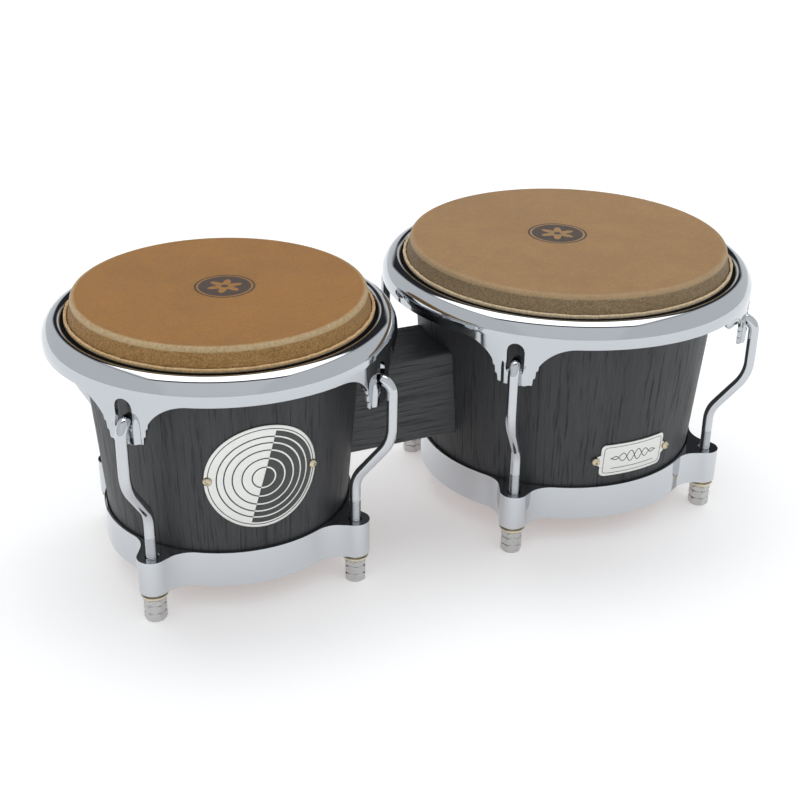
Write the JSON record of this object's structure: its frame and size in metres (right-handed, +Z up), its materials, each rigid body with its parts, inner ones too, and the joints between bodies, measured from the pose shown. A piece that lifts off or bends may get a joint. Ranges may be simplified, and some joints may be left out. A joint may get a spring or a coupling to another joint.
{
  "type": "bongo drums",
  "caption": "Bongo drums: a small and a large wooden hand drum on a centre block, with rawhide heads, chromed tuning rims, hooked lugs and cast bottom rings.",
  "frame": {"origin": "on the floor, below the centre of the bounding box", "axes": "+X from the small drum to the large drum, +Z up, the badges on the -Y side"},
  "size_m": [0.4881, 0.2552, 0.1886],
  "materials": {
    "black_wood": "black stained, brushed open grain, satin",
    "rawhide": "natural tan rawhide, slightly waxy",
    "chrome": "polished chrome plate",
    "plated_steel": "zinc plated, satin",
    "brass": "yellow passivated plating",
    "badge_plate": "fine satin with black enamel inlay"
  },
  "bodies": {
    "root": {"macho_shell": "black_wood", "macho_head_skin": "rawhide", "macho_bottom_ring": "chrome", "macho_backing_plate": "plated_steel", "macho_block_bolt_1": "plated_steel", "macho_block_bolt_2": "plated_steel", "macho_lug_washer_1": "brass", "macho_lug_washer_2": "brass", "macho_lug_washer_3": "brass", "macho_lug_washer_4": "brass", "hembra_shell": "black_wood", "hembra_head_skin": "rawhide", "hembra_bottom_ring": "chrome", "hembra_backing_plate": "plated_steel", "hembra_block_bolt_1": "plated_steel", "hembra_block_bolt_2": "plated_steel", "hembra_lug_washer_1": "brass", "hembra_lug_washer_2": "brass", "hembra_lug_washer_3": "brass", "hembra_lug_washer_4": "brass", "centre_block": "black_wood", "round_badge": "badge_plate", "round_badge_screw_1": "brass", "round_badge_screw_2": "brass", "oblong_badge": "badge_plate", "oblong_badge_screw_1": "brass", "oblong_badge_screw_2": "brass"},
    "macho_rim": {"macho_tuning_rim": "chrome", "macho_flesh_hoop": "rawhide", "macho_tuning_lug_1": "chrome", "macho_tuning_lug_2": "chrome", "macho_tuning_lug_3": "chrome", "macho_tuning_lug_4": "chrome"},
    "macho_nut_1": {"macho_lug_nut_1": "plated_steel"},
    "macho_nut_2": {"macho_lug_nut_2": "plated_steel"},
    "macho_nut_3": {"macho_lug_nut_3": "plated_steel"},
    "macho_nut_4": {"macho_lug_nut_4": "plated_steel"},
    "hembra_rim": {"hembra_tuning_rim": "chrome", "hembra_flesh_hoop": "rawhide", "hembra_tuning_lug_1": "chrome", "hembra_tuning_lug_2": "chrome", "hembra_tuning_lug_3": "chrome", "hembra_tuning_lug_4": "chrome"},
    "hembra_nut_1": {"hembra_lug_nut_1": "plated_steel"},
    "hembra_nut_2": {"hembra_lug_nut_2": "plated_steel"},
    "hembra_nut_3": {"hembra_lug_nut_3": "plated_steel"},
    "hembra_nut_4": {"hembra_lug_nut_4": "plated_steel"}
  },
  "joints": [
    {"name": "macho_nut_1_turn", "type": "hinge", "parent": "root", "child": "macho_nut_1", "pos_m": [-0.06338, 0.06217, 0], "axis": [0, 0, 1], "range_deg": [-1440, 900]},
    {"name": "macho_nut_2_turn", "type": "hinge", "parent": "root", "child": "macho_nut_2", "pos_m": [-0.19532, 0.06977, 0], "axis": [0, 0, 1], "range_deg": [-1440, 900]},
    {"name": "macho_nut_3_turn", "type": "hinge", "parent": "root", "child": "macho_nut_3", "pos_m": [-0.20292, -0.06217, 0], "axis": [0, 0, 1], "range_deg": [-1440, 900]},
    {"name": "macho_nut_4_turn", "type": "hinge", "parent": "root", "child": "macho_nut_4", "pos_m": [-0.07098, -0.06977, 0], "axis": [0, 0, 1], "range_deg": [-1440, 900]},
    {"name": "macho_rim_slide", "type": "slide", "parent": "root", "child": "macho_rim", "axis": [0, 0, 1], "range_m": [-0.00317, 0.00507]},
    {"name": "hembra_nut_1_turn", "type": "hinge", "parent": "root", "child": "hembra_nut_1", "pos_m": [0.193, 0.07916, 0], "axis": [0, 0, 1], "range_deg": [-1440, 900]},
    {"name": "hembra_nut_2_turn", "type": "hinge", "parent": "root", "child": "hembra_nut_2", "pos_m": [0.03739, 0.07645, 0], "axis": [0, 0, 1], "range_deg": [-1440, 900]},
    {"name": "hembra_nut_3_turn", "type": "hinge", "parent": "root", "child": "hembra_nut_3", "pos_m": [0.0401, -0.07916, 0], "axis": [0, 0, 1], "range_deg": [-1440, 900]},
    {"name": "hembra_nut_4_turn", "type": "hinge", "parent": "root", "child": "hembra_nut_4", "pos_m": [0.19571, -0.07645, 0], "axis": [0, 0, 1], "range_deg": [-1440, 900]},
    {"name": "hembra_rim_slide", "type": "slide", "parent": "root", "child": "hembra_rim", "axis": [0, 0, 1], "range_m": [-0.00317, 0.00507]}
  ],
  "couplings": [
    {"joint": "macho_nut_1_turn", "follows": "macho_rim_slide", "rad_per_m": -4947.4},
    {"joint": "macho_nut_2_turn", "follows": "macho_rim_slide", "rad_per_m": -4947.4},
    {"joint": "macho_nut_3_turn", "follows": "macho_rim_slide", "rad_per_m": -4947.4},
    {"joint": "macho_nut_4_turn", "follows": "macho_rim_slide", "rad_per_m": -4947.4},
    {"joint": "hembra_nut_1_turn", "follows": "hembra_rim_slide", "rad_per_m": -4947.4},
    {"joint": "hembra_nut_2_turn", "follows": "hembra_rim_slide", "rad_per_m": -4947.4},
    {"joint": "hembra_nut_3_turn", "follows": "hembra_rim_slide", "rad_per_m": -4947.4},
    {"joint": "hembra_nut_4_turn", "follows": "hembra_rim_slide", "rad_per_m": -4947.4}
  ]
}
